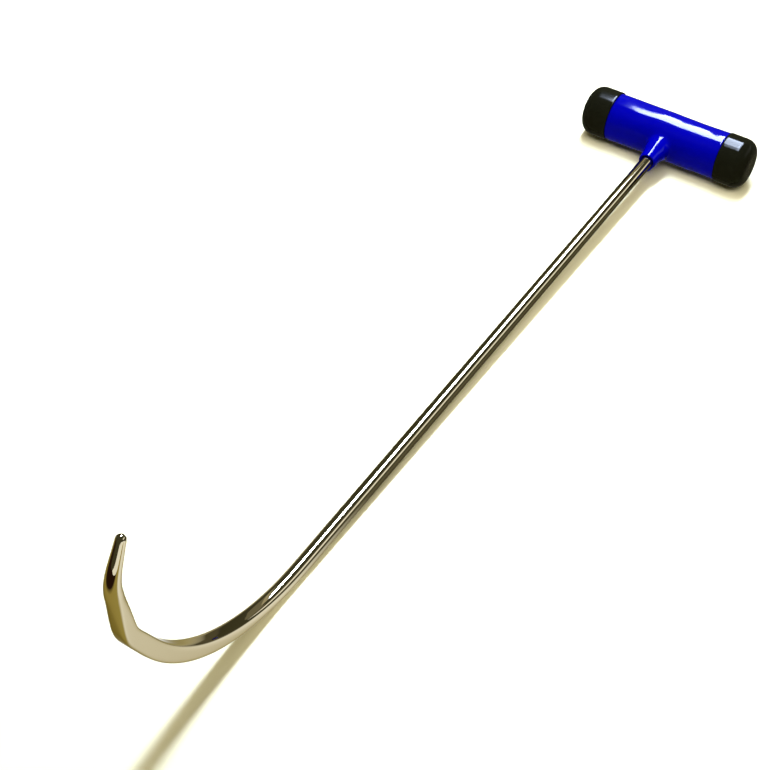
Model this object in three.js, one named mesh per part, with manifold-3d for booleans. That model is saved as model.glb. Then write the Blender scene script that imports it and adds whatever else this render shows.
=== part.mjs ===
// A long steel hook rod with a cross grip, built in millimetres, +Z up.
// The tool lies on a surface: both end caps and the start of the hook's sweep touch it.
// X runs along the cross grip, the rod runs towards -Y, and the hook curls up and back.

import * as THREE from 'three';
import { mergeVertices } from 'three/addons/utils/BufferGeometryUtils.js';
import Module from 'manifold-3d';

const wasm = await Module();
wasm.setup();

// Driving dimensions

const ROD_RADIUS = 4.75;
const REACH = 498;              // cross grip axis to the start of the sweep
const SWEEP_RADIUS = 147;
const SWEEP_ANGLE = 62.6;       // degrees
const RISE = 22;                // straight run after the sweep
const KNEE_RADIUS = 32;
const KNEE_ANGLE = 21;
const SHANK = 29.1;             // straight run between the knee and the crook
const CROOK_RADIUS = 28;
const CROOK_ANGLE = 31.8;
const POINT = 19.2;             // straight run that ends in the tip

const SWEEP_DEPTH = 5.4;        // half depth of the forged section, in the hook's plane
const SHANK_DEPTH = 5.15;
const FORGED_WIDTH = 4.85;      // half width of the forged section, across the hook's plane
const FORGED_POWER = 5;         // superellipse power of the forged section: 2 is round
const CROOK_SIZE = 4.8;         // half size of the section where the point begins to taper
const TIP_RADIUS = 2.6;

const GRIP_LENGTH = 135;        // over both caps
const TUBE_RADIUS = 15.875;
const TUBE_WALL = 2;
const COAT_RADIUS = 18.3;
const COAT_CORNER = 6;
const COAT_END_WALL = 1.6;
const CAP_RADIUS = 19.1;
const CAP_WALL = 1.5;
const CAP_END_WALL = 2.2;
const CAP_CORNER = 9.5;
const CAP_LIP = 0.5;
const CAP_LENGTH = 22.5;

const NECK_END = 38;            // cross grip axis to the mouth of the neck
const NECK_RADIUS = 6.6;
const NECK_LIP = 1.2;
const NECK_SWELL = { radius: 7.1, distance: 27.5 };     // where the neck begins to flare
const NECK_FLARE = { radius: 9.2, distance: 17.3 };     // what the flare's curve is drawn to
const NECK_ROOT = { radius: 13, distance: 12.8 };       // the flare's foot, inside the coat

const WELD_WIDTH = 3.6;
const WELD_HEIGHT = 4.6;
const WELD_FOOT = 1;            // height of the beads' upright edge over the tube
const WELD_CROWN = 1;           // how far in from its corner a bead's curve is drawn to
const BACK_WELD_RADIUS = 6;
const BACK_WELD_RISE = 1;
const PLUG_FLANGE = 1.5;
const PLUG_FLANGE_RADIUS = 14.6;
const PLUG_DEPTH = 7;
const PLUG_WALL = 1.2;
const PLUG_CHAMFER = 0.5;
const GAP = 0.3;                // between pieces that touch on the real tool

const CUT_PAST = 1;             // how far a cutter runs on past the face it opens

const ROUND_SIDES = 36;
const ROD_SIDES = 24;

// Sizes that follow

const HALF_GRIP = GRIP_LENGTH / 2;
const BORE_RADIUS = ROD_RADIUS + GAP;
const SEAT_RADIUS = CAP_RADIUS - CAP_WALL - GAP;
const COAT_END = HALF_GRIP - CAP_END_WALL - GAP;
const PLUG_END = COAT_END - COAT_END_WALL - GAP;
const TUBE_END = PLUG_END - PLUG_FLANGE - GAP;
const TUBE_BORE = TUBE_RADIUS - TUBE_WALL;
const TUBE_CLEARANCE = TUBE_RADIUS + GAP;
const ROD_BACK = TUBE_RADIUS - TUBE_WALL / 2;         // the rod ends inside the far wall
const WELD_BASE = TUBE_RADIUS / 2;                    // the tube cuts the bead off above this

// Materials

function finish(color, roughness, metalness) {
  return new THREE.MeshStandardMaterial({ color, roughness, metalness });
}

// Solids

function toSolid(geometry) {
  const bare = geometry.clone();
  bare.deleteAttribute('normal');
  bare.deleteAttribute('uv');
  const merged = mergeVertices(bare);
  const corners = Array.from(merged.index.array);
  const faces = [];
  for (let i = 0; i < corners.length; i += 3) {
    const face = corners.slice(i, i + 3);
    if (new Set(face).size === 3) faces.push(...face);
  }
  return new wasm.Manifold(new wasm.Mesh({
    numProp: 3,
    vertProperties: new Float32Array(merged.attributes.position.array),
    triVerts: new Uint32Array(faces),
  }));
}

function toGeometry(solid) {
  const { vertProperties, triVerts } = solid.getMesh();
  const geometry = new THREE.BufferGeometry();
  geometry.setAttribute('position', new THREE.BufferAttribute(vertProperties, 3));
  geometry.setIndex(new THREE.BufferAttribute(triVerts, 1));
  return geometry;
}

function join(first, second) {
  return toGeometry(toSolid(first).add(toSolid(second)));
}

function cut(body, ...tools) {
  return toGeometry(tools.reduce((rest, tool) => rest.subtract(toSolid(tool)), toSolid(body)));
}

// An outline of (radius, distance) points for a turned piece.
function outline(draw) {
  const path = new THREE.Path();
  draw(path);
  return path.getPoints(3);
}

// Turned pieces: the distance runs along +X, or from the cross grip axis along the rod.
function turnAlongGrip(points) {
  return new THREE.LatheGeometry(points, ROUND_SIDES).rotateZ(-Math.PI / 2);
}

function turnAlongRod(points) {
  return new THREE.LatheGeometry(points, ROUND_SIDES).rotateX(Math.PI);
}

function barOutline(radius, from, to) {
  return outline((path) => {
    path.moveTo(0, from);
    path.lineTo(radius, from);
    path.lineTo(radius, to);
    path.lineTo(0, to);
  });
}

// Hook rod: a straight blank, forged to section, then bent

const HOOK_PATH = [
  { length: REACH + ROD_BACK, steps: 6 },
  { radius: SWEEP_RADIUS, angle: SWEEP_ANGLE, steps: 20 },
  { length: RISE, steps: 3 },
  { radius: KNEE_RADIUS, angle: KNEE_ANGLE, steps: 5 },
  { length: SHANK, steps: 5 },
  { radius: CROOK_RADIUS, angle: CROOK_ANGLE, steps: 7 },
  { length: POINT, steps: 6 },
];
const DOME_STEPS = 5;
const BLANK_CHAMFER = 1;

function runLength(run) {
  return run.length ?? run.radius * THREE.MathUtils.degToRad(run.angle);
}

// The distance along the rod at which each run of the path begins, and the whole length.
const RUN_STARTS = [0];
for (const run of HOOK_PATH) RUN_STARTS.push(RUN_STARTS.at(-1) + runLength(run));
const ROD_LENGTH = RUN_STARTS.at(-1);

// The centreline at a distance along the rod: its point and the slope of its direction.
function centreline(distance) {
  let slope = 0;
  let y = ROD_BACK;
  let z = 0;
  let left = distance;
  for (const run of HOOK_PATH) {
    const length = Math.min(left, runLength(run));
    if (run.radius) {
      const next = slope + length / run.radius;
      y -= run.radius * (Math.sin(next) - Math.sin(slope));
      z += run.radius * (Math.cos(slope) - Math.cos(next));
      slope = next;
    } else {
      y -= length * Math.cos(slope);
      z += length * Math.sin(slope);
    }
    left -= length;
  }
  return { y, z, slope };
}

// Half depth, half width and superellipse power of the rod's section.
function section(distance) {
  const { lerp, smoothstep, inverseLerp, clamp } = THREE.MathUtils;
  const [, sweep, rise, knee, shank, crook] = RUN_STARTS;
  const forged = smoothstep(distance, sweep, rise);
  const drawn = smoothstep(distance, rise, shank);
  const narrowed = smoothstep(distance, shank, crook);
  const pointed = clamp(inverseLerp(crook, ROD_LENGTH, distance), 0, 1);
  const sweepDepth = lerp(lerp(ROD_RADIUS, SWEEP_DEPTH, forged), SHANK_DEPTH, drawn);
  const sweepWidth = lerp(ROD_RADIUS, FORGED_WIDTH, forged);
  return {
    depth: lerp(lerp(sweepDepth, CROOK_SIZE, narrowed), TIP_RADIUS, pointed),
    width: lerp(lerp(sweepWidth, CROOK_SIZE, narrowed), TIP_RADIUS, pointed),
    power: lerp(lerp(2, FORGED_POWER, forged), 2, smoothstep(distance, knee, crook)),
  };
}

// Outline of the straight blank, of radius 1, with a chamfered back and a domed tip.
function blankOutline() {
  const points = [new THREE.Vector2(0, 0), new THREE.Vector2(1 - BLANK_CHAMFER / ROD_RADIUS, 0)];
  points.push(new THREE.Vector2(1, BLANK_CHAMFER));
  HOOK_PATH.forEach((run, index) => {
    const last = index === HOOK_PATH.length - 1;
    const length = runLength(run) - (last ? TIP_RADIUS : 0);
    for (let step = 1; step <= run.steps; step += 1) {
      points.push(new THREE.Vector2(1, RUN_STARTS[index] + (length * step) / run.steps));
    }
  });
  for (let step = 1; step <= DOME_STEPS; step += 1) {
    const turn = (Math.PI / 2) * (step / DOME_STEPS);
    const radius = step === DOME_STEPS ? 0 : Math.cos(turn);
    points.push(new THREE.Vector2(radius, ROD_LENGTH - TIP_RADIUS * (1 - Math.sin(turn))));
  }
  return points;
}

function squared(value, power) {
  return Math.sign(value) * Math.abs(value) ** (2 / power);
}

function hookRod() {
  const blank = new THREE.LatheGeometry(blankOutline(), ROD_SIDES);
  const places = blank.attributes.position;
  for (let i = 0; i < places.count; i += 1) {
    const across = places.getX(i);
    const distance = places.getY(i);
    const inward = places.getZ(i);
    const size = Math.hypot(across, inward);
    const turn = Math.atan2(across, inward);
    const { depth, width, power } = section(distance);
    const { y, z, slope } = centreline(distance);
    const rise = depth * size * squared(Math.cos(turn), power);
    const side = width * size * squared(Math.sin(turn), power);
    places.setXYZ(i, -side, y + rise * Math.sin(slope), z + rise * Math.cos(slope));
  }
  return blank;
}

// Cross grip: a steel tube, closed by a pressed cup plug at each end

function crossbarTube() {
  const ring = outline((path) => {
    path.moveTo(TUBE_RADIUS, -TUBE_END);
    path.lineTo(TUBE_RADIUS, TUBE_END);
    path.lineTo(TUBE_BORE, TUBE_END);
    path.lineTo(TUBE_BORE, -TUBE_END);
    path.lineTo(TUBE_RADIUS, -TUBE_END);
  });
  const holeEnd = TUBE_RADIUS + CUT_PAST;
  const crossHole = turnAlongRod(barOutline(BORE_RADIUS, -holeEnd, holeEnd));
  return cut(turnAlongGrip(ring), crossHole);
}

function tubePlug() {
  const spigot = TUBE_BORE - GAP;
  const floor = PLUG_END - PLUG_FLANGE;
  return turnAlongGrip(outline((path) => {
    path.moveTo(0, floor);
    path.lineTo(spigot - PLUG_WALL, floor);
    path.lineTo(spigot - PLUG_WALL, TUBE_END - PLUG_DEPTH);
    path.lineTo(spigot, TUBE_END - PLUG_DEPTH);
    path.lineTo(spigot, floor);
    path.lineTo(PLUG_FLANGE_RADIUS, floor);
    path.lineTo(PLUG_FLANGE_RADIUS, PLUG_END - PLUG_CHAMFER);
    path.lineTo(PLUG_FLANGE_RADIUS - PLUG_CHAMFER, PLUG_END);
    path.lineTo(0, PLUG_END);
  }));
}

// Welds: a fillet round the rod where it enters the tube, and a plug weld over its back end

function frontWeldOutline(inner, grow) {
  const foot = TUBE_RADIUS + WELD_FOOT;
  const outer = BORE_RADIUS + WELD_WIDTH + grow;
  const top = TUBE_CLEARANCE + WELD_HEIGHT + grow;
  return outline((path) => {
    path.moveTo(inner, WELD_BASE);
    path.lineTo(outer, WELD_BASE);
    path.lineTo(outer, foot);
    path.quadraticCurveTo(outer - WELD_CROWN, top - WELD_CROWN, BORE_RADIUS + grow / 2, top);
    path.lineTo(inner, top);
    path.lineTo(inner, WELD_BASE);
  });
}

function frontWeld() {
  const tube = turnAlongGrip(barOutline(TUBE_CLEARANCE, -NECK_END, NECK_END));
  return cut(turnAlongRod(frontWeldOutline(BORE_RADIUS, 0)), tube);
}

function backWeldOutline(grow) {
  const shoulder = TUBE_CLEARANCE - grow;
  const outer = BACK_WELD_RADIUS + 2 * grow;
  const top = TUBE_CLEARANCE + BACK_WELD_RISE + grow;
  return outline((path) => {
    path.moveTo(0, ROD_BACK + GAP);
    path.lineTo(ROD_RADIUS, ROD_BACK + GAP);
    path.lineTo(ROD_RADIUS, shoulder);
    path.lineTo(outer, shoulder);
    path.quadraticCurveTo(outer - WELD_CROWN, top, 0, top);
  });
}

function backWeld() {
  return turnAlongRod(backWeldOutline(0)).rotateX(Math.PI);
}

// Dipped coat: one skin over the whole cross grip, running out along the rod as a short neck

function coatSleeve() {
  const bare = HALF_GRIP - CAP_LENGTH - GAP;
  const corner = SEAT_RADIUS - COAT_CORNER;
  return turnAlongGrip(outline((path) => {
    path.moveTo(0, -COAT_END);
    path.lineTo(corner, -COAT_END);
    path.absarc(corner, -COAT_END + COAT_CORNER, COAT_CORNER, -Math.PI / 2, 0, false);
    path.lineTo(SEAT_RADIUS, -bare);
    path.lineTo(COAT_RADIUS, -bare);
    path.lineTo(COAT_RADIUS, bare);
    path.lineTo(SEAT_RADIUS, bare);
    path.absarc(corner, COAT_END - COAT_CORNER, COAT_CORNER, 0, Math.PI / 2, false);
    path.lineTo(0, COAT_END);
  }));
}

function coatNeck() {
  const [swell, flare, root] = [NECK_SWELL, NECK_FLARE, NECK_ROOT];
  return turnAlongRod(outline((path) => {
    path.moveTo(0, WELD_BASE);
    path.lineTo(root.radius, WELD_BASE);
    path.lineTo(root.radius, root.distance);
    path.quadraticCurveTo(flare.radius, flare.distance, swell.radius, swell.distance);
    path.lineTo(NECK_RADIUS, NECK_END - NECK_LIP);
    path.quadraticCurveTo(NECK_RADIUS, NECK_END, NECK_RADIUS - NECK_LIP, NECK_END);
    path.lineTo(0, NECK_END);
  }));
}

function coatCavity() {
  const flange = PLUG_FLANGE_RADIUS + GAP;
  return turnAlongGrip(outline((path) => {
    path.moveTo(0, -PLUG_END - GAP);
    path.lineTo(flange, -PLUG_END - GAP);
    path.lineTo(flange, -TUBE_END - GAP);
    path.lineTo(TUBE_CLEARANCE, -TUBE_END - GAP);
    path.lineTo(TUBE_CLEARANCE, TUBE_END + GAP);
    path.lineTo(flange, TUBE_END + GAP);
    path.lineTo(flange, PLUG_END + GAP);
    path.lineTo(0, PLUG_END + GAP);
  }));
}

function gripCoat() {
  const bore = turnAlongRod(barOutline(BORE_RADIUS, 0, NECK_END + CUT_PAST));
  const aroundFrontWeld = turnAlongRod(frontWeldOutline(0, GAP));
  const aroundBackWeld = turnAlongRod(backWeldOutline(GAP)).rotateX(Math.PI);
  const skin = join(coatSleeve(), coatNeck());
  return cut(skin, coatCavity(), bore, aroundFrontWeld, aroundBackWeld);
}

// End caps: soft cups pushed over the ends of the coat, slightly proud of it

function endCap() {
  const mouth = HALF_GRIP - CAP_LENGTH;
  const floor = HALF_GRIP - CAP_END_WALL;
  const bore = CAP_RADIUS - CAP_WALL;
  const innerCorner = COAT_CORNER + GAP;
  const quarter = Math.PI / 2;
  return turnAlongGrip(outline((path) => {
    path.moveTo(0, floor);
    path.lineTo(bore - innerCorner, floor);
    path.absarc(bore - innerCorner, floor - innerCorner, innerCorner, quarter, 0, true);
    path.lineTo(bore, mouth);
    path.absarc(CAP_RADIUS - CAP_LIP, mouth + CAP_LIP, CAP_LIP, -quarter, 0, false);
    path.absarc(CAP_RADIUS - CAP_CORNER, HALF_GRIP - CAP_CORNER, CAP_CORNER, 0, quarter, false);
    path.lineTo(0, HALF_GRIP);
  }));
}

// Assembly

const polishedSteel = finish(0xc9c6bb, 0.12, 1);
const tubeSteel = finish(0x8d8f92, 0.55, 1);
const weldMetal = finish(0x77787a, 0.65, 1);
const plugSteel = finish(0xa0a2a4, 0.45, 1);
const blueDip = finish(0x0505c8, 0.2, 0);
const blackVinyl = finish(0x0b0b08, 0.22, 0);

const tool = new THREE.Group();

function place(name, geometry, material) {
  const mesh = new THREE.Mesh(geometry, material.clone());
  mesh.name = name;
  tool.add(mesh);
  return mesh;
}

place('hook_rod', hookRod(), polishedSteel);
place('crossbar_tube', crossbarTube(), tubeSteel);
place('front_weld', frontWeld(), weldMetal);
place('back_weld', backWeld(), weldMetal);
place('tube_plug_left', tubePlug(), plugSteel).rotation.z = Math.PI;
place('tube_plug_right', tubePlug(), plugSteel);
place('grip_coat', gripCoat(), blueDip);
place('end_cap_left', endCap(), blackVinyl).rotation.z = Math.PI;
place('end_cap_right', endCap(), blackVinyl);

// The tool lies on the floor on its caps and on its sweep, so the rod slopes down to the hook.
const capToSweep = Math.hypot(REACH, SWEEP_RADIUS);
const climb = Math.asin((SWEEP_RADIUS + ROD_RADIUS - CAP_RADIUS) / capToSweep);
tool.rotation.x = Math.atan2(SWEEP_RADIUS, REACH) - climb;

const lying = new THREE.Group();
lying.add(tool);
const box = new THREE.Box3().setFromObject(lying, true);
const centre = box.getCenter(new THREE.Vector3());
tool.position.set(-centre.x, -centre.y, -box.min.z);

export default lying;
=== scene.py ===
"""A polished hook rod with a dipped cross grip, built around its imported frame.

Sizes are in metres, +Z up. The cross grip lies along X and the rod runs towards -Y.
"""

import math

import bmesh
import bpy
from mathutils import Matrix, Vector, noise


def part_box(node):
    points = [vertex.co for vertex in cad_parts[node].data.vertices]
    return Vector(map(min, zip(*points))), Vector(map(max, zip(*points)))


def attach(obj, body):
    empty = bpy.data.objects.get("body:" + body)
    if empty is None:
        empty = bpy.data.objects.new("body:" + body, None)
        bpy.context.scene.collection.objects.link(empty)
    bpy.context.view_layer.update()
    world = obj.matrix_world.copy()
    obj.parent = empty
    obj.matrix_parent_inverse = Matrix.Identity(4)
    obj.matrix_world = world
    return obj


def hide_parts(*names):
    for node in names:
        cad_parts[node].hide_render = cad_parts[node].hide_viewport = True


bl_info = {
    "name": "Hook Rod",
    "version": (1, 0, 0),
    "blender": (4, 5, 0),
    "location": "View3D > Sidebar > Hook Rod",
    "description": "Builds a forged hook rod with a dipped cross grip and its stage",
    "category": "Add Mesh",
}

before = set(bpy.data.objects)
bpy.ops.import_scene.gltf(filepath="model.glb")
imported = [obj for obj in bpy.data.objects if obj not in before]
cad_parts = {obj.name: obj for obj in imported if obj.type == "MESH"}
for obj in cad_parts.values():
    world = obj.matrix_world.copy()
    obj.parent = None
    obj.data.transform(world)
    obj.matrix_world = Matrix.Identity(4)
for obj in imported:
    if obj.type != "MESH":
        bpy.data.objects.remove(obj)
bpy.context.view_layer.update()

MM = 0.001
BODY = "root"
X_AXIS = Vector((1, 0, 0))
Y_AXIS = Vector((0, 1, 0))
Z_AXIS = Vector((0, 0, 1))


# Places and sizes that the frame gives


def node_size(node):
    low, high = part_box(node)
    return high - low


def node_middle(node):
    low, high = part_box(node)
    return (low + high) / 2


GRIP_MIDDLE = Vector((0, node_middle("end_cap_right").y, node_middle("end_cap_right").z))
CAP_RADIUS = node_size("end_cap_right").y / 2
GRIP_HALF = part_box("end_cap_right")[1].x
LEFT_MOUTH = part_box("end_cap_left")[1].x
RIGHT_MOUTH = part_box("end_cap_right")[0].x
TUBE_RADIUS = node_size("crossbar_tube").y / 2


# What a user would change


class RodSizes(bpy.types.PropertyGroup):
    """The forged rod: a straight, a long sweep, a knee, a crook and a point."""

    radius: bpy.props.FloatProperty(
        name="Radius", description="Half the thickness of the round bar",
        default=4.75 * MM, unit="LENGTH")
    back: bpy.props.FloatProperty(
        name="Back", description="How far the rod runs past the grip's axis",
        default=14.875 * MM, unit="LENGTH")
    reach: bpy.props.FloatProperty(
        name="Reach", description="Grip's axis to the start of the sweep",
        default=498 * MM, unit="LENGTH")
    sweep_radius: bpy.props.FloatProperty(
        name="Sweep radius", description="Bend radius of the long sweep",
        default=147 * MM, unit="LENGTH")
    sweep_angle: bpy.props.FloatProperty(
        name="Sweep angle", description="How far the sweep turns up",
        default=math.radians(62.6), subtype="ANGLE")
    rise: bpy.props.FloatProperty(
        name="Rise", description="Straight run after the sweep",
        default=22 * MM, unit="LENGTH")
    knee_radius: bpy.props.FloatProperty(
        name="Knee radius", description="Bend radius of the knee",
        default=32 * MM, unit="LENGTH")
    knee_angle: bpy.props.FloatProperty(
        name="Knee angle", description="How far the knee turns",
        default=math.radians(21), subtype="ANGLE")
    shank: bpy.props.FloatProperty(
        name="Shank", description="Straight run between knee and crook",
        default=29.1 * MM, unit="LENGTH")
    crook_radius: bpy.props.FloatProperty(
        name="Crook radius", description="Bend radius of the crook",
        default=28 * MM, unit="LENGTH")
    crook_angle: bpy.props.FloatProperty(
        name="Crook angle", description="How far the crook turns back",
        default=math.radians(31.8), subtype="ANGLE")
    point: bpy.props.FloatProperty(
        name="Point", description="Straight run that ends in the tip",
        default=19.2 * MM, unit="LENGTH")
    sweep_depth: bpy.props.FloatProperty(
        name="Sweep depth", description="Half depth of the forged section in the hook's plane",
        default=5.4 * MM, unit="LENGTH")
    shank_depth: bpy.props.FloatProperty(
        name="Shank depth", description="Half depth of the section between knee and crook",
        default=5.15 * MM, unit="LENGTH")
    forged_width: bpy.props.FloatProperty(
        name="Forged width", description="Half width of the forged section across the plane",
        default=4.85 * MM, unit="LENGTH")
    forged_power: bpy.props.FloatProperty(
        name="Squareness", description="Superellipse power of the forged section, 2 is round",
        default=5.0)
    crook_size: bpy.props.FloatProperty(
        name="Crook size", description="Half size of the section where the point begins",
        default=4.8 * MM, unit="LENGTH")
    tip_radius: bpy.props.FloatProperty(
        name="Tip radius", description="Radius of the domed tip",
        default=2.6 * MM, unit="LENGTH")


class GripSizes(bpy.types.PropertyGroup):
    """The dipped coat, its neck and the end caps."""

    coat_radius: bpy.props.FloatProperty(
        name="Coat radius", description="Outer radius of the coat between the caps",
        default=18.3 * MM, unit="LENGTH")
    coat_wall: bpy.props.FloatProperty(
        name="Coat wall", description="Thickness of the coat at its closed ends",
        default=1.6 * MM, unit="LENGTH")
    cap_wall: bpy.props.FloatProperty(
        name="Cap wall", description="Thickness of the caps round the grip",
        default=1.5 * MM, unit="LENGTH")
    cap_end_wall: bpy.props.FloatProperty(
        name="Cap end wall", description="Thickness of the caps' flat ends",
        default=2.2 * MM, unit="LENGTH")
    cap_corner: bpy.props.FloatProperty(
        name="Cap corner", description="Rounding round the caps' ends",
        default=9.5 * MM, unit="LENGTH")
    neck_end: bpy.props.FloatProperty(
        name="Neck end", description="Grip's axis to the mouth of the neck",
        default=38 * MM, unit="LENGTH")
    neck_radius: bpy.props.FloatProperty(
        name="Neck radius", description="Outer radius at the mouth of the neck",
        default=6.6 * MM, unit="LENGTH")
    gap: bpy.props.FloatProperty(
        name="Gap", description="Clearance between neighbouring pieces",
        default=0.3 * MM, unit="LENGTH")
    wave: bpy.props.FloatProperty(
        name="Wave", description="Height of the coat's slow waves",
        default=0.45 * MM, unit="LENGTH")


class Colours(bpy.types.PropertyGroup):
    """Base colours of the finishes."""

    steel: bpy.props.FloatVectorProperty(
        name="Steel", description="Polished steel", subtype="COLOR", size=3,
        default=(0.50, 0.45, 0.33))
    dip: bpy.props.FloatVectorProperty(
        name="Dip", description="Dipped vinyl of the coat", subtype="COLOR", size=3,
        default=(0.0, 0.0, 0.215))
    cap: bpy.props.FloatVectorProperty(
        name="Cap", description="Soft vinyl of the caps", subtype="COLOR", size=3,
        default=(0.004, 0.004, 0.002))
    floor: bpy.props.FloatVectorProperty(
        name="Floor", description="Paper under the tool", subtype="COLOR", size=3,
        default=(0.93, 0.87, 0.60))


# Mesh helpers


def finish_mesh(mesh, name, finish, replaced):
    """Turns a closed bmesh into a named piece that stands for a CAD node."""
    data = bpy.data.meshes.new(name)
    bmesh.ops.recalc_face_normals(mesh, faces=mesh.faces)
    mesh.to_mesh(data)
    mesh.free()
    data.shade_smooth()
    piece = bpy.data.objects.new(name, data)
    bpy.context.scene.collection.objects.link(piece)
    data.materials.append(finish)
    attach(piece, BODY)
    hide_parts(replaced)
    return piece


def turned(outlines, axis, steps):
    """Spins outlines of (distance, radius) points about an axis, X or Y."""
    mesh = bmesh.new()
    for outline in outlines:
        verts = [mesh.verts.new(axis * distance + Z_AXIS * radius)
                 for distance, radius in outline]
        for pair in zip(verts, verts[1:]):
            mesh.edges.new(pair)
    bmesh.ops.spin(mesh, geom=mesh.verts[:] + mesh.edges[:], cent=(0, 0, 0), axis=axis,
                   angle=math.tau, steps=steps, use_merge=True)
    bmesh.ops.remove_doubles(mesh, verts=mesh.verts, dist=0.002 * MM)
    return mesh


def arc(middle, radius, start, end, steps):
    """Points (distance, radius) round an arc, with its angles in degrees from the axis."""
    points = []
    for step in range(steps + 1):
        turn = math.radians(start + (end - start) * step / steps)
        points.append((middle[0] + radius * math.cos(turn), middle[1] + radius * math.sin(turn)))
    return points


def smoothstep(value, low, high):
    share = min(max((value - low) / (high - low), 0.0), 1.0)
    return share * share * (3 - 2 * share)


def mix(low, high, share):
    return low + (high - low) * share


# The rod's course


def ramp_area(share):
    """Area under a ramp that climbs from 0 to 1 and stays there."""
    if share <= 0:
        return 0.0
    if share < 1:
        return share * share / 2
    return share - 0.5


def eased(share, ease):
    """A ramp from 0 to 1 whose ends are rounded over the width ease."""
    return (ramp_area(share + ease / 2) - ramp_area(share - ease / 2)) / ease


class Course:
    """Centreline and section of the rod, by distance from its back end inside the grip."""

    STEP = 0.5 * MM
    EASES = (24 * MM, 10 * MM, 12 * MM)

    def __init__(self, sizes):
        self.sizes = sizes
        distance = sizes.back + sizes.reach
        self.bends = []
        turns = (
            (sizes.sweep_radius, sizes.sweep_angle, sizes.rise),
            (sizes.knee_radius, sizes.knee_angle, sizes.shank),
            (sizes.crook_radius, sizes.crook_angle, sizes.point),
        )
        for (radius, angle, run), ease in zip(turns, self.EASES):
            length = radius * angle
            self.bends.append((distance, length, angle, ease / length))
            distance += length + run
        self.length = distance
        self.points = [Vector((0, sizes.back, 0))]
        while len(self.points) * self.STEP < self.length + self.STEP:
            slope = self.slope((len(self.points) - 0.5) * self.STEP)
            ahead = Vector((0, -math.cos(slope), math.sin(slope)))
            self.points.append(self.points[-1] + ahead * self.STEP)

    def slope(self, distance):
        return sum(angle * eased((distance - start) / length, ease)
                   for start, length, angle, ease in self.bends)

    def place(self, distance):
        index = min(int(distance / self.STEP), len(self.points) - 2)
        share = distance / self.STEP - index
        return self.points[index].lerp(self.points[index + 1], share)

    def section(self, distance):
        """Half depth, half width and superellipse power."""
        sizes = self.sizes
        sweep, rise = self.bends[0][0], sum(self.bends[0][:2])
        knee, shank = self.bends[1][0], sum(self.bends[1][:2])
        crook = self.bends[2][0]
        forged = smoothstep(distance, sweep, rise)
        drawn = smoothstep(distance, rise, shank)
        narrowed = smoothstep(distance, shank, crook)
        pointed = min(max((distance - crook) / (self.length - crook), 0), 1)
        depth = mix(mix(sizes.radius, sizes.sweep_depth, forged), sizes.shank_depth, drawn)
        width = mix(sizes.radius, sizes.forged_width, forged)
        depth = mix(mix(depth, sizes.crook_size, narrowed), sizes.tip_radius, pointed)
        width = mix(mix(width, sizes.crook_size, narrowed), sizes.tip_radius, pointed)
        power = mix(mix(2, sizes.forged_power, forged), 2, smoothstep(distance, knee, crook))
        return depth, width, power


def lie_angle(sizes):
    """The rod slopes down from the caps to the sweep, where the tool rests on the floor."""
    span = math.hypot(sizes.reach, sizes.sweep_radius)
    climb = math.asin((sizes.sweep_radius + sizes.radius - CAP_RADIUS) / span)
    return math.atan2(sizes.sweep_radius, sizes.reach) - climb


def tool_place(sizes):
    """From the tool's own axes, with the grip's axis at the middle, to where it lies."""
    return Matrix.Translation(GRIP_MIDDLE) @ Matrix.Rotation(lie_angle(sizes), 4, "X")


# Node materials


class Value:
    """A socket whose number changes over a surface. Arithmetic on it adds Math nodes."""

    def __init__(self, finish, socket):
        self.finish = finish
        self.socket = socket

    def math(self, operation, *terms):
        return self.finish.math(operation, *terms)

    def __add__(self, other):
        return self.math("ADD", self, other)

    def __radd__(self, other):
        return self.math("ADD", other, self)

    def __mul__(self, other):
        return self.math("MULTIPLY", self, other)

    def __rmul__(self, other):
        return self.math("MULTIPLY", other, self)


class Finish:
    """A node material that ends in one Principled shader."""

    def __init__(self, name):
        self.material = bpy.data.materials.new(name)
        self.material.use_nodes = True
        self.tree = self.material.node_tree
        self.tree.nodes.clear()

    def node(self, kind, settings=None, sockets=None, output=0):
        node = self.tree.nodes.new(kind)
        for key, setting in (settings or {}).items():
            if key == "stops":
                ramp = node.color_ramp
                while len(ramp.elements) < len(setting):
                    ramp.elements.new(1.0)
                for element, (position, shade) in zip(ramp.elements, setting):
                    element.position = position
                    element.color = (*shade, 1.0)
            else:
                setattr(node, key, setting)
        for key, value in (sockets or {}).items():
            if isinstance(value, Value):
                self.tree.links.new(value.socket, node.inputs[key])
            else:
                node.inputs[key].default_value = value
        return Value(self, node.outputs[output])

    def math(self, operation, *terms):
        return self.node("ShaderNodeMath", {"operation": operation}, dict(enumerate(terms)))

    def noise(self, coordinates, scale, detail=2.0, roughness=0.5, stretch=(1, 1, 1)):
        placed = self.node("ShaderNodeMapping", {"vector_type": "POINT"},
                           {"Vector": coordinates, "Scale": stretch})
        return self.node("ShaderNodeTexNoise", {"noise_dimensions": "3D"},
                         {"Vector": placed, "Scale": scale, "Detail": detail,
                          "Roughness": roughness}, "Fac")

    def mix_colours(self, share, first, second):
        sockets = {0: share, 6: (*first, 1) if isinstance(first, tuple) else first,
                   7: (*second, 1) if isinstance(second, tuple) else second}
        return self.node("ShaderNodeMix", {"data_type": "RGBA"}, sockets, 2)

    def bump(self, height, strength, distance):
        return self.node("ShaderNodeBump", None,
                         {"Height": height, "Strength": strength, "Distance": distance})

    def surface(self, sockets):
        shader = self.node("ShaderNodeBsdfPrincipled", None, sockets)
        end = self.tree.nodes.new("ShaderNodeOutputMaterial")
        self.tree.links.new(shader.socket, end.inputs["Surface"])
        return self.material


def darker(colour, share):
    return tuple(channel * share for channel in colour)


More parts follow.
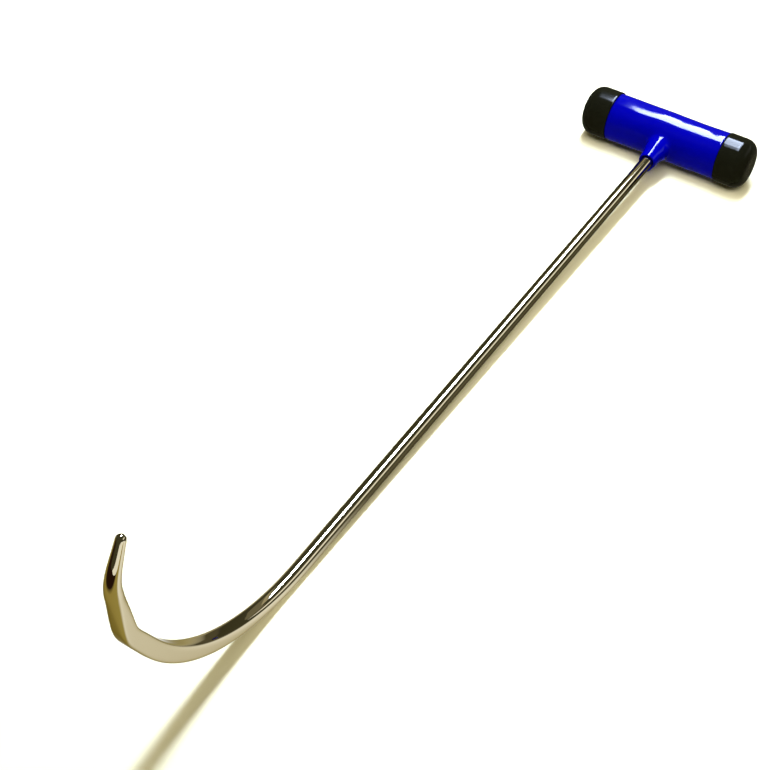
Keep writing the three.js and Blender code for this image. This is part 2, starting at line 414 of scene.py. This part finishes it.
def polished_steel(colours):
    """Mirror-polished bar: faint lengthwise polishing lines and a few soft smudges."""
    finish = Finish("polished_steel")
    blank = finish.node("ShaderNodeAttribute",
                        {"attribute_type": "GEOMETRY", "attribute_name": "blank"},
                        None, "Vector")
    lines = finish.noise(blank, 900, 3, 0.6, (1, 0.02, 1))
    smudge = finish.noise(blank, 28, 4, 0.6, (1, 0.5, 1))
    haze = finish.node("ShaderNodeValToRGB",
                       {"stops": ((0.46, (0, 0, 0)), (0.72, (1, 1, 1)))}, {"Fac": smudge})
    tone = finish.noise(blank, 14, 2)
    steel = tuple(colours.steel)
    colour = finish.mix_colours(tone, darker(steel, 0.95), steel)
    return finish.surface({
        "Base Color": colour,
        "Metallic": 1.0,
        "Specular Tint": (0.30, 0.27, 0.18, 1),
        "Roughness": 0.02 + lines * 0.02 + haze * 0.02,
        "Normal": finish.bump(lines, 0.06, 0.05 * MM),
    })


def dipped_vinyl(colours):
    """Glossy dipped coat: slow waves, fine orange peel and thin places that are lighter."""
    finish = Finish("blue_dip")
    place = finish.node("ShaderNodeTexCoord", None, None, "Object")
    depth = finish.noise(place, 45, 2)
    peel = finish.noise(place, 420, 2)
    dip = tuple(colours.dip)
    colour = finish.mix_colours(depth, darker(dip, 0.86), dip)
    return finish.surface({
        "Base Color": colour,
        "Roughness": 0.05 + peel * 0.04,
        "Specular IOR Level": 0.11,
        "Normal": finish.bump(peel, 0.05, 0.1 * MM),
    })


def soft_black(colours):
    """Soft glossy vinyl cap with a faint mould texture and handling marks."""
    finish = Finish("black_vinyl")
    place = finish.node("ShaderNodeTexCoord", None, None, "Object")
    grain = finish.noise(place, 900, 2)
    rub = finish.noise(place, 60, 4, 0.6)
    cap = tuple(colours.cap)
    colour = finish.mix_colours(rub, cap, darker(cap, 1.7))
    return finish.surface({
        "Base Color": colour,
        "Roughness": 0.06 + rub * 0.08,
        "Specular IOR Level": 0.055,
        "Normal": finish.bump(grain, 0.05, 0.05 * MM),
    })


def bare_metal(name, colour, roughness, scale, stretch):
    """Unpolished metal inside the grip: drawn lines or weld ripples in one pattern."""
    finish = Finish(name)
    place = finish.node("ShaderNodeTexCoord", None, None, "Object")
    grain = finish.noise(place, scale, 4, 0.6, stretch)
    return finish.surface({
        "Base Color": finish.mix_colours(grain, darker(colour, 0.7), colour),
        "Metallic": 1.0,
        "Roughness": roughness + grain * 0.2,
        "Normal": finish.bump(grain, 0.3, 0.2 * MM),
    })


def floor_paper(colours):
    """Plain matt paper. It has no gloss, so it doesn't pick up the card that lies on it."""
    finish = Finish("floor_paper")
    place = finish.node("ShaderNodeTexCoord", None, None, "Object")
    grain = finish.noise(place, 300, 3)
    floor = tuple(colours.floor)
    return finish.surface({
        "Base Color": finish.mix_colours(grain, darker(floor, 0.985), floor),
        "Roughness": 0.85,
        "Specular IOR Level": 0.0,
    })


# Pieces


class HOOKROD_OT_steel_rod(bpy.types.Operator):
    """Turn a straight blank, forge its section and bend it into the hook"""

    bl_idname = "hookrod.steel_rod"
    bl_label = "Steel rod"

    SIDES = 64
    STRAIGHT_STEP = 14 * MM
    HOOK_STEP = 1.5 * MM
    DOME_STEPS = 10
    CHAMFER = 0.8 * MM

    def blank_outline(self, course):
        sizes = course.sizes
        points = [(0, 0), (0, sizes.radius - self.CHAMFER)]
        distance = self.CHAMFER
        dome = course.length - sizes.tip_radius
        hook = course.bends[0][0] - Course.EASES[0]
        while distance < dome - self.HOOK_STEP / 2:
            points.append((distance, sizes.radius))
            distance += self.STRAIGHT_STEP if distance < hook else self.HOOK_STEP
        for step in range(self.DOME_STEPS + 1):
            turn = math.pi / 2 * step / self.DOME_STEPS
            points.append((dome + sizes.tip_radius * math.sin(turn),
                           sizes.radius * math.cos(turn) if step < self.DOME_STEPS else 0))
        return points

    def forge_and_bend(self, mesh, course):
        keep = mesh.verts.layers.float_vector.new("blank")
        for vert in mesh.verts:
            vert[keep] = vert.co
            distance = vert.co.y
            depth, width, power = course.section(distance)
            size = math.hypot(vert.co.x, vert.co.z) / course.sizes.radius
            turn = math.atan2(vert.co.x, vert.co.z)
            inward = math.copysign(abs(math.cos(turn)) ** (2 / power), math.cos(turn))
            across = math.copysign(abs(math.sin(turn)) ** (2 / power), math.sin(turn))
            slope = course.slope(distance)
            normal = Vector((0, math.sin(slope), math.cos(slope)))
            vert.co = (course.place(distance) + normal * inward * depth * size
                       + X_AXIS * across * width * size)

    def execute(self, context):
        settings = context.scene.hook_rod_sizes
        course = Course(settings)
        mesh = turned([self.blank_outline(course)], Y_AXIS, self.SIDES)
        self.forge_and_bend(mesh, course)
        bmesh.ops.transform(mesh, matrix=tool_place(settings), verts=mesh.verts)
        finish_mesh(mesh, "steel_rod", polished_steel(context.scene.hook_rod_colours),
                    "hook_rod")
        return {"FINISHED"}


class HOOKROD_OT_end_caps(bpy.types.Operator):
    """Turn the two soft caps that close the ends of the grip"""

    bl_idname = "hookrod.end_caps"
    bl_label = "End caps"

    SIDES = 96
    LIP = 0.55 * MM
    SAG = 0.10 * MM

    def outline(self, sizes, mouth):
        bore = CAP_RADIUS - sizes.cap_wall
        floor = GRIP_HALF - sizes.cap_end_wall
        inner_corner = sizes.cap_corner - sizes.cap_wall - sizes.gap
        points = [(floor, 0)]
        points += arc((floor - inner_corner, bore - inner_corner), inner_corner, 0, 90, 8)
        points += [(mix(floor - inner_corner, mouth, step / 8), bore) for step in range(1, 8)]
        points += arc((mouth + self.LIP, bore + self.LIP), self.LIP, 270, 180, 4)
        points += arc((mouth + self.LIP, CAP_RADIUS - self.LIP), self.LIP, 180, 90, 5)
        rim = GRIP_HALF - sizes.cap_corner
        points += [(mix(mouth + self.LIP, rim, step / 10), CAP_RADIUS) for step in range(1, 10)]
        points += arc((rim, CAP_RADIUS - sizes.cap_corner), sizes.cap_corner, 90, 0, 16)
        flat = CAP_RADIUS - sizes.cap_corner
        points += [(GRIP_HALF, flat * (1 - step / 6)) for step in range(1, 6)]
        points.append((GRIP_HALF, 0))
        return points

    def soften(self, mesh, seed):
        for vert in mesh.verts:
            swell = noise.noise(vert.co * 45 + Vector((seed, 0, 0)))
            vert.co.y *= 1 + swell * self.SAG / CAP_RADIUS
            vert.co.z *= 1 + swell * self.SAG / CAP_RADIUS

    def execute(self, context):
        sizes = context.scene.hook_rod_grip
        vinyl = soft_black(context.scene.hook_rod_colours)
        caps = (("left_cap", "end_cap_left", -LEFT_MOUTH, math.pi, 3.0),
                ("right_cap", "end_cap_right", RIGHT_MOUTH, 0.0, 7.0))
        for name, node, mouth, turn, seed in caps:
            mesh = turned([self.outline(sizes, mouth)], X_AXIS, self.SIDES)
            self.soften(mesh, seed)
            place = Matrix.Translation(GRIP_MIDDLE) @ Matrix.Rotation(turn, 4, "Z")
            bmesh.ops.transform(mesh, matrix=place, verts=mesh.verts)
            finish_mesh(mesh, name, vinyl, node)
        return {"FINISHED"}


class HOOKROD_OT_dipped_coat(bpy.types.Operator):
    """Turn the dipped sleeve and draw its neck out of a patch on its front"""

    bl_idname = "hookrod.dipped_coat"
    bl_label = "Dipped coat"

    SIDES = 24
    NECK_SIDES = 16
    PATCH = 9.6 * MM
    PATCH_ANGLE = math.radians(30)
    SMOOTHING = 2

    # How quickly the waves of the dip and the lumps of the neck repeat, per metre.
    SLOW_WAVE = 45
    QUICK_WAVE = 130
    LUMPS = 210

    # Rings of the neck, outside then inside: radius, distance from the grip's axis, and
    # how far the ring has left the grip's own surface, from 0 to 1.
    FLARE = (
        (11.2, 18.4, 0.0), (10.0, 18.9, 0.35), (9.2, 20.0, 0.7), (8.9, 21.8, 0.92),
        (8.7, 24.2, 1.0), (7.8, 27.2, 1.0), (7.1, 30.6, 1.0), (6.95, 33.8, 1.0),
    )
    BORE = (
        (4.95, 34.0, 1.0), (5.2, 28.0, 1.0), (5.2, 23.6, 1.0), (5.9, 22.2, 1.0),
        (7.4, 21.0, 1.0), (8.6, 19.0, 1.0),
    )
    ROOT_IN = (9.4, 16.4, 0.0)

    def sleeve_outline(self, sizes):
        """Outside of the coat: bare between the caps, and thinner where they grip it."""
        seat = CAP_RADIUS - sizes.cap_wall - sizes.gap
        bare = -LEFT_MOUTH - sizes.gap
        end = GRIP_HALF - sizes.cap_end_wall - sizes.gap
        corner = sizes.cap_corner - sizes.cap_wall - 2 * sizes.gap
        half = [(step * self.PATCH / 2, sizes.coat_radius) for step in range(4)]
        half += [(mix(half[-1][0], bare, step / 6), sizes.coat_radius) for step in range(1, 6)]
        half += [(bare - 0.7 * MM, sizes.coat_radius), (bare, sizes.coat_radius - 0.1 * MM),
                 (bare + 0.1 * MM, seat + 0.1 * MM), (bare + 0.8 * MM, seat)]
        half += [(mix(bare, end - corner, step / 3), seat) for step in range(1, 3)]
        half += arc((end - corner, seat - corner), corner, 90, 0, 4)
        half += [(end, (seat - corner) * share) for share in (0.6, 0.3)] + [(end, 0)]
        return [(-distance, radius) for distance, radius in reversed(half[1:])] + half

    def cavity_outline(self, sizes):
        """Inside of the coat, clear of the tube and its plugs."""
        wall = TUBE_RADIUS + sizes.gap
        end = GRIP_HALF - sizes.cap_end_wall - sizes.gap - sizes.coat_wall
        half = [(step * self.PATCH / 2, wall) for step in range(4)]
        half += [(mix(half[-1][0], end, step / 6), wall) for step in range(1, 6)]
        half += [(end - 1.2 * MM, wall), (end, wall - 1.2 * MM)]
        half += [(end, wall * share) for share in (0.6, 0.3)] + [(end, 0)]
        return [(-distance, radius) for distance, radius in reversed(half[1:])] + half

    def in_patch(self, face):
        middle = face.calc_center_median()
        turn = math.atan2(middle.z, -middle.y)
        return abs(middle.x) < self.PATCH and abs(turn) < self.PATCH_ANGLE

    def spread(self, verts, surface, ring, share):
        """Puts a loop's vertices evenly round the rod, on one ring of the neck."""
        radius, distance, left = (ring[0] * MM * share, ring[1] * MM, ring[2])
        for vert in verts:
            turn = math.atan2(vert.co.z, vert.co.x)
            turn = round(turn * self.NECK_SIDES / math.tau) * math.tau / self.NECK_SIDES
            vert.co.x = radius * math.cos(turn)
            vert.co.z = radius * math.sin(turn)
            skin = math.sqrt(max(surface ** 2 - vert.co.z ** 2, 0))
            vert.co.y = -mix(skin, distance, left)

    def draw_neck(self, mesh, sizes):
        swell = 3 / (2 + math.cos(math.tau / self.NECK_SIDES))
        doomed = [face for face in mesh.faces if self.in_patch(face)]
        bmesh.ops.delete(mesh, geom=doomed, context="FACES")
        rims = [edge for edge in mesh.edges if edge.is_boundary]
        limit = (sizes.coat_radius + TUBE_RADIUS) / 2
        outer = [edge for edge in rims
                 if math.hypot(edge.verts[0].co.y, edge.verts[0].co.z) > limit]
        inner = [edge for edge in rims if edge not in outer]
        mouth, end = sizes.neck_radius, sizes.neck_end
        lip = ((mouth / MM, end / MM - 1.2, 1.0), (mouth / MM - 0.15, end / MM - 0.3, 1.0),
               (mouth / MM - 0.65, end / MM, 1.0), (mouth / MM - 1.5, end / MM - 0.15, 1.0),
               (mouth / MM - 1.8, end / MM - 0.9, 1.0))
        surface = sizes.coat_radius
        self.spread({vert for edge in outer for vert in edge.verts}, surface,
                    self.FLARE[0], swell)
        self.spread({vert for edge in inner for vert in edge.verts},
                    TUBE_RADIUS + sizes.gap, self.ROOT_IN, swell)
        for ring in self.FLARE[1:] + lip + self.BORE:
            grown = bmesh.ops.extrude_edge_only(mesh, edges=outer)["geom"]
            outer = [item for item in grown if isinstance(item, bmesh.types.BMEdge)]
            outer = [edge for edge in outer if edge.is_boundary]
            self.spread({vert for edge in outer for vert in edge.verts}, surface, ring, swell)
        bmesh.ops.bridge_loops(mesh, edges=outer + inner)

    def wave(self, mesh, sizes):
        """Slow waves over the dip, and the ripples of the weld under the neck's root."""
        neck = (sizes.coat_radius + sizes.neck_end) / 2
        for vert in mesh.verts:
            out = Vector((0, vert.co.y, vert.co.z))
            skin = TUBE_RADIUS + 1 * MM
            if out.length > skin and vert.co.y > -sizes.coat_radius:
                slow = noise.noise(vert.co * self.SLOW_WAVE)
                quick = noise.noise(vert.co * self.QUICK_WAVE)
                vert.co += out.normalized() * (slow + 0.25 * quick) * sizes.wave
            round_rod = Vector((vert.co.x, 0, vert.co.z))
            if -neck < vert.co.y < -TUBE_RADIUS and round_rod.length > 6.4 * MM:
                lump = noise.noise(vert.co * self.LUMPS)
                vert.co += round_rod.normalized() * lump * 1.4 * sizes.wave

    def hang_drip(self, mesh, sizes):
        """The last of the dip hangs from the mouth as a small point."""
        mouth = Vector((1.2 * MM, -sizes.neck_end + 0.8 * MM, -sizes.neck_radius))
        for vert in mesh.verts:
            near = 1 - smoothstep((vert.co - mouth).length, 0, 3.2 * MM)
            vert.co += Vector((0.2, -1.2, -3.6)) * MM * near

    def execute(self, context):
        sizes = context.scene.hook_rod_grip
        swell = 3 / (2 + math.cos(math.tau / self.SIDES))
        outlines = [[(distance, radius * swell) for distance, radius in outline]
                    for outline in (self.sleeve_outline(sizes), self.cavity_outline(sizes))]
        mesh = turned(outlines, X_AXIS, self.SIDES)
        self.draw_neck(mesh, sizes)
        self.wave(mesh, sizes)
        self.hang_drip(mesh, sizes)
        bmesh.ops.transform(mesh, matrix=tool_place(context.scene.hook_rod_sizes),
                            verts=mesh.verts)
        coat = finish_mesh(mesh, "dipped_coat", dipped_vinyl(context.scene.hook_rod_colours),
                           "grip_coat")
        smooth = coat.modifiers.new("Smooth skin", "SUBSURF")
        smooth.levels = self.SMOOTHING
        smooth.render_levels = self.SMOOTHING
        return {"FINISHED"}


class HOOKROD_OT_inner_metal(bpy.types.Operator):
    """Finish the tube, the welds and the plugs that stay as the frame has them"""

    bl_idname = "hookrod.inner_metal"
    bl_label = "Inner metal"

    def execute(self, context):
        tube = bare_metal("drawn_tube", (0.52, 0.53, 0.54), 0.32, 300, (0.05, 1, 1))
        weld = bare_metal("weld_bead", (0.36, 0.35, 0.34), 0.42, 700, (1, 1, 1))
        plug = bare_metal("pressed_plug", (0.60, 0.61, 0.62), 0.28, 500, (1, 0.1, 1))
        finishes = {"crossbar_tube": tube, "front_weld": weld, "back_weld": weld,
                    "tube_plug_left": plug, "tube_plug_right": plug}
        for node, metal in finishes.items():
            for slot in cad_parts[node].material_slots:
                slot.material = metal
        return {"FINISHED"}


class HOOKROD_OT_stage(bpy.types.Operator):
    """Lay the floor, hang the soft lights and set the camera"""

    bl_idname = "hookrod.stage"
    bl_label = "Stage"

    FLOOR_HALF = 20.0
    ROOM_RADIUS = 19.0

    # The card of painted floor reflection that only gloss sees: half its side, its height over
    # the floor and its glow.
    CARD_HALF = 3.0
    CARD_LIFT = 0.2 * MM
    PAINTED_REFLECTION_GLOW = 1.6
    # Where the painted brown and dark reflection before the hook reaches: along and across the
    # card.
    BROWN_REFLECTION_BEFORE = -0.2
    BROWN_REFLECTION_LEFT_OF = 0.45

    # Heights of the lights over the grip, in metres.
    CEILING = 5.0
    SHINE_HEIGHT = 4.8
    KEY_HEIGHT = 1.5
    FILL_HEIGHT = 1.3
    NEAR_HEIGHT = 0.35
    SHINE_SLANT = math.radians(3)

    def floor(self, colours):
        mesh = bmesh.new()
        bmesh.ops.create_grid(mesh, x_segments=8, y_segments=8, size=self.FLOOR_HALF)
        data = bpy.data.meshes.new("floor")
        mesh.to_mesh(data)
        mesh.free()
        floor = bpy.data.objects.new("floor", data)
        bpy.context.scene.collection.objects.link(floor)
        data.materials.append(floor_paper(colours))
        floor.visible_glossy = False

    def panel(self, name, across, along, height, brightness, colour):
        """A soft light that faces down, placed in heights over the grip."""
        light = bpy.data.lights.new(name, "AREA")
        light.shape = "RECTANGLE"
        light.size = (across[1] - across[0]) * height
        light.size_y = (along[1] - along[0]) * height
        light.energy = brightness * light.size * light.size_y * math.pi
        light.color = colour
        lamp = bpy.data.objects.new(name, light)
        lamp.location = GRIP_MIDDLE + Vector((sum(across) / 2, sum(along) / 2, 1.0)) * height
        lamp.visible_camera = False
        bpy.context.scene.collection.objects.link(lamp)
        return lamp

    def sheet(self, name, mesh, glow, strength):
        """Adds a glowing part of the stage that lights and shades nothing."""
        data = bpy.data.meshes.new(name)
        mesh.to_mesh(data)
        mesh.free()
        sheet = bpy.data.objects.new(name, data)
        bpy.context.scene.collection.objects.link(sheet)
        finish = Finish(name)
        data.materials.append(finish.surface({
            "Base Color": (0, 0, 0, 1), "Roughness": 1.0, "Specular IOR Level": 0.0,
            "Emission Color": glow(finish), "Emission Strength": strength}))
        sheet.visible_diffuse = False
        sheet.visible_shadow = False
        return sheet

    def painted_floor_reflection(self):
        """A glowing card that only gloss sees, painted as the floor's reflection: pale by the
        hook, painted brown shade before it, painted dark shade elsewhere.
        """
        mesh = bmesh.new()
        bmesh.ops.create_grid(mesh, x_segments=1, y_segments=1, size=self.CARD_HALF)
        bmesh.ops.translate(mesh, verts=mesh.verts, vec=(0, 0, self.CARD_LIFT))

        def glow(finish):
            place = finish.node("ShaderNodeTexCoord", None, None, "Object")
            across = finish.node("ShaderNodeSeparateXYZ", None, {"Vector": place}, "X")
            along = finish.node("ShaderNodeSeparateXYZ", None, {"Vector": place}, "Y")
            # Painted reflection: pale floor by the hook, then painted dark shade under the rod
            # and the grip.
            paper = finish.node("ShaderNodeValToRGB", {"stops": (
                (0.0, (0.94, 0.94, 0.90)), (0.405, (0.94, 0.94, 0.90)),
                (0.45, (0.12, 0.11, 0.07)), (1.0, (0.06, 0.055, 0.04)))},
                {"Fac": along * 0.5 + 0.5})
            # Painted reflection before the hook: brown, going near black further out.
            painted_brown_reflection = finish.node("ShaderNodeValToRGB", {"stops": (
                (0.20, (0.02, 0.008, 0.004)), (0.25, (0.34, 0.27, 0.07)),
                (0.325, (0.37, 0.31, 0.09)), (0.350, (0.94, 0.94, 0.90)))},
                {"Fac": along * 0.5 + 0.5})
            near = finish.math("LESS_THAN", along, self.BROWN_REFLECTION_BEFORE)
            left = finish.math("LESS_THAN", across, self.BROWN_REFLECTION_LEFT_OF)
            return finish.mix_colours(near * left, paper, painted_brown_reflection)

        card = self.sheet("painted_floor_reflection", mesh, glow, self.PAINTED_REFLECTION_GLOW)
        card.visible_camera = False
        card.visible_transmission = False

    def sky(self):
        """A pale shell that only the camera sees, so that the room never looks dark."""
        mesh = bmesh.new()
        bmesh.ops.create_uvsphere(mesh, u_segments=48, v_segments=24, radius=self.ROOM_RADIUS)
        bmesh.ops.reverse_faces(mesh, faces=mesh.faces)
        shell = self.sheet("pale_shell", mesh, lambda finish: (0.95, 0.95, 0.93, 1), 1.0)
        shell.visible_glossy = False
        shell.visible_transmission = False

    def room(self, colour):
        world = bpy.data.worlds.new("room")
        world.use_nodes = True
        background = world.node_tree.nodes["Background"]
        background.inputs["Color"].default_value = (*colour, 1)
        background.inputs["Strength"].default_value = 1.0
        bpy.context.scene.world = world

    def camera(self, stage):
        data = bpy.data.cameras.new("camera")
        data.lens = stage.lens
        data.sensor_width = 36
        data.clip_start = 0.05
        camera = bpy.data.objects.new("camera", data)
        look = Vector(stage.camera_aim) - Vector(stage.camera_place)
        turn = look.to_track_quat("-Z", "Y").to_matrix().to_4x4()
        camera.matrix_world = (Matrix.Translation(stage.camera_place) @ turn
                               @ Matrix.Rotation(stage.camera_roll, 4, "Z"))
        bpy.context.scene.collection.objects.link(camera)
        bpy.context.scene.camera = camera

    def execute(self, context):
        scene = context.scene
        stage = scene.hook_rod_stage
        self.camera(stage)
        self.floor(scene.hook_rod_colours)
        self.room(stage.room)
        cool, neutral, warm = (0.78, 0.92, 1.22), (1.0, 0.98, 0.94), (1.0, 0.90, 0.62)
        ceiling = self.CEILING
        self.panel("key_strip", (-0.20, -0.07), (-0.10, 0.90), self.KEY_HEIGHT, stage.key, cool)
        self.panel("wide_panel", (-0.345, -0.04), (0.10, 1.06), ceiling, stage.wide, neutral)
        self.panel("low_panel", (-1.10, -0.04), (1.17, 1.45), ceiling, 0.18 * stage.wide, warm)
        self.panel("far_panel", (-1.20, 0.60), (1.45, 2.60), ceiling, 0.06 * stage.wide, warm)
        self.panel("side_panel", (1.15, 2.60), (0.10, 3.20), ceiling, stage.side, neutral)
        near = self.panel("near_panel", (-0.50, 0.71), (-0.90, -0.25), self.NEAR_HEIGHT,
                          stage.near, neutral)
        near.visible_glossy = False
        shine = self.panel("shine_strip", (-0.345, -0.200), (0.12, 1.06), self.SHINE_HEIGHT,
                           stage.shine, cool)
        shine.rotation_euler.z = self.SHINE_SLANT
        shine.visible_diffuse = False
        fill = self.panel("fill_panel", (-1.5, 1.5), (-1.0, 1.5), self.FILL_HEIGHT,
                          stage.fill, warm)
        fill.visible_glossy = False
        self.painted_floor_reflection()
        self.sky()
        scene.view_settings.view_transform = "Standard"
        return {"FINISHED"}


class StageSettings(bpy.types.PropertyGroup):
    """Camera, lights and room."""

    camera_place: bpy.props.FloatVectorProperty(
        name="Camera place", description="Where the camera stands", size=3,
        default=(0.3424, -0.6831, 0.7427), subtype="TRANSLATION", unit="LENGTH")
    camera_aim: bpy.props.FloatVectorProperty(
        name="Camera aim", description="The point that the camera looks at", size=3,
        default=(-0.0325, -0.0354, 0.02), subtype="TRANSLATION", unit="LENGTH")
    camera_roll: bpy.props.FloatProperty(
        name="Camera roll", description="Turn of the camera about its own axis",
        default=math.radians(3.07), subtype="ANGLE")
    lens: bpy.props.FloatProperty(
        name="Lens", description="Focal length on a 36 mm sensor", default=76.85, unit="CAMERA")
    key: bpy.props.FloatProperty(
        name="Key", description="Brightness of the key strip", default=66.0)
    shine: bpy.props.FloatProperty(
        name="Shine", description="Brightness of the strip that only gloss sees", default=95.0)
    near: bpy.props.FloatProperty(
        name="Near", description="Brightness of the small panel that hangs close to the grip",
        default=4.6)
    fill: bpy.props.FloatProperty(
        name="Fill", description="Brightness of the warm fill that gloss doesn't see",
        default=0.33)
    wide: bpy.props.FloatProperty(
        name="Wide", description="Brightness of the wide panel beside the key", default=3.0)
    side: bpy.props.FloatProperty(
        name="Side", description="Brightness of the side panel", default=1.5)
    room: bpy.props.FloatVectorProperty(
        name="Room", description="Light that comes from the rest of the room",
        subtype="COLOR", size=3, default=(0.085, 0.080, 0.042))


class HOOKROD_PT_panel(bpy.types.Panel):
    """Lists the tool's pieces and their settings in the sidebar"""

    bl_idname = "HOOKROD_PT_panel"
    bl_label = "Hook Rod"
    bl_space_type = "VIEW_3D"
    bl_region_type = "UI"
    bl_category = "Hook Rod"

    def draw(self, context):
        for piece in PIECES:
            self.layout.operator(piece.bl_idname)
        for name in SETTINGS:
            box = self.layout.box()
            settings = getattr(context.scene, name)
            for prop in settings.bl_rna.properties:
                if prop.identifier not in ("rna_type", "name"):
                    box.prop(settings, prop.identifier)


PIECES = (HOOKROD_OT_steel_rod, HOOKROD_OT_dipped_coat, HOOKROD_OT_end_caps,
          HOOKROD_OT_inner_metal, HOOKROD_OT_stage)
SETTINGS = {"hook_rod_sizes": RodSizes, "hook_rod_grip": GripSizes,
            "hook_rod_colours": Colours, "hook_rod_stage": StageSettings}
CLASSES = tuple(SETTINGS.values()) + PIECES + (HOOKROD_PT_panel,)


def register():
    for kind in CLASSES:
        bpy.utils.register_class(kind)
    for name, kind in SETTINGS.items():
        setattr(bpy.types.Scene, name, bpy.props.PointerProperty(type=kind))


def unregister():
    for name in SETTINGS:
        delattr(bpy.types.Scene, name)
    for kind in reversed(CLASSES):
        bpy.utils.unregister_class(kind)


def main():
    register()
    bpy.ops.hookrod.steel_rod()
    bpy.ops.hookrod.dipped_coat()
    bpy.ops.hookrod.end_caps()
    bpy.ops.hookrod.inner_metal()
    bpy.ops.hookrod.stage()


if __name__ == "__main__":
    main()
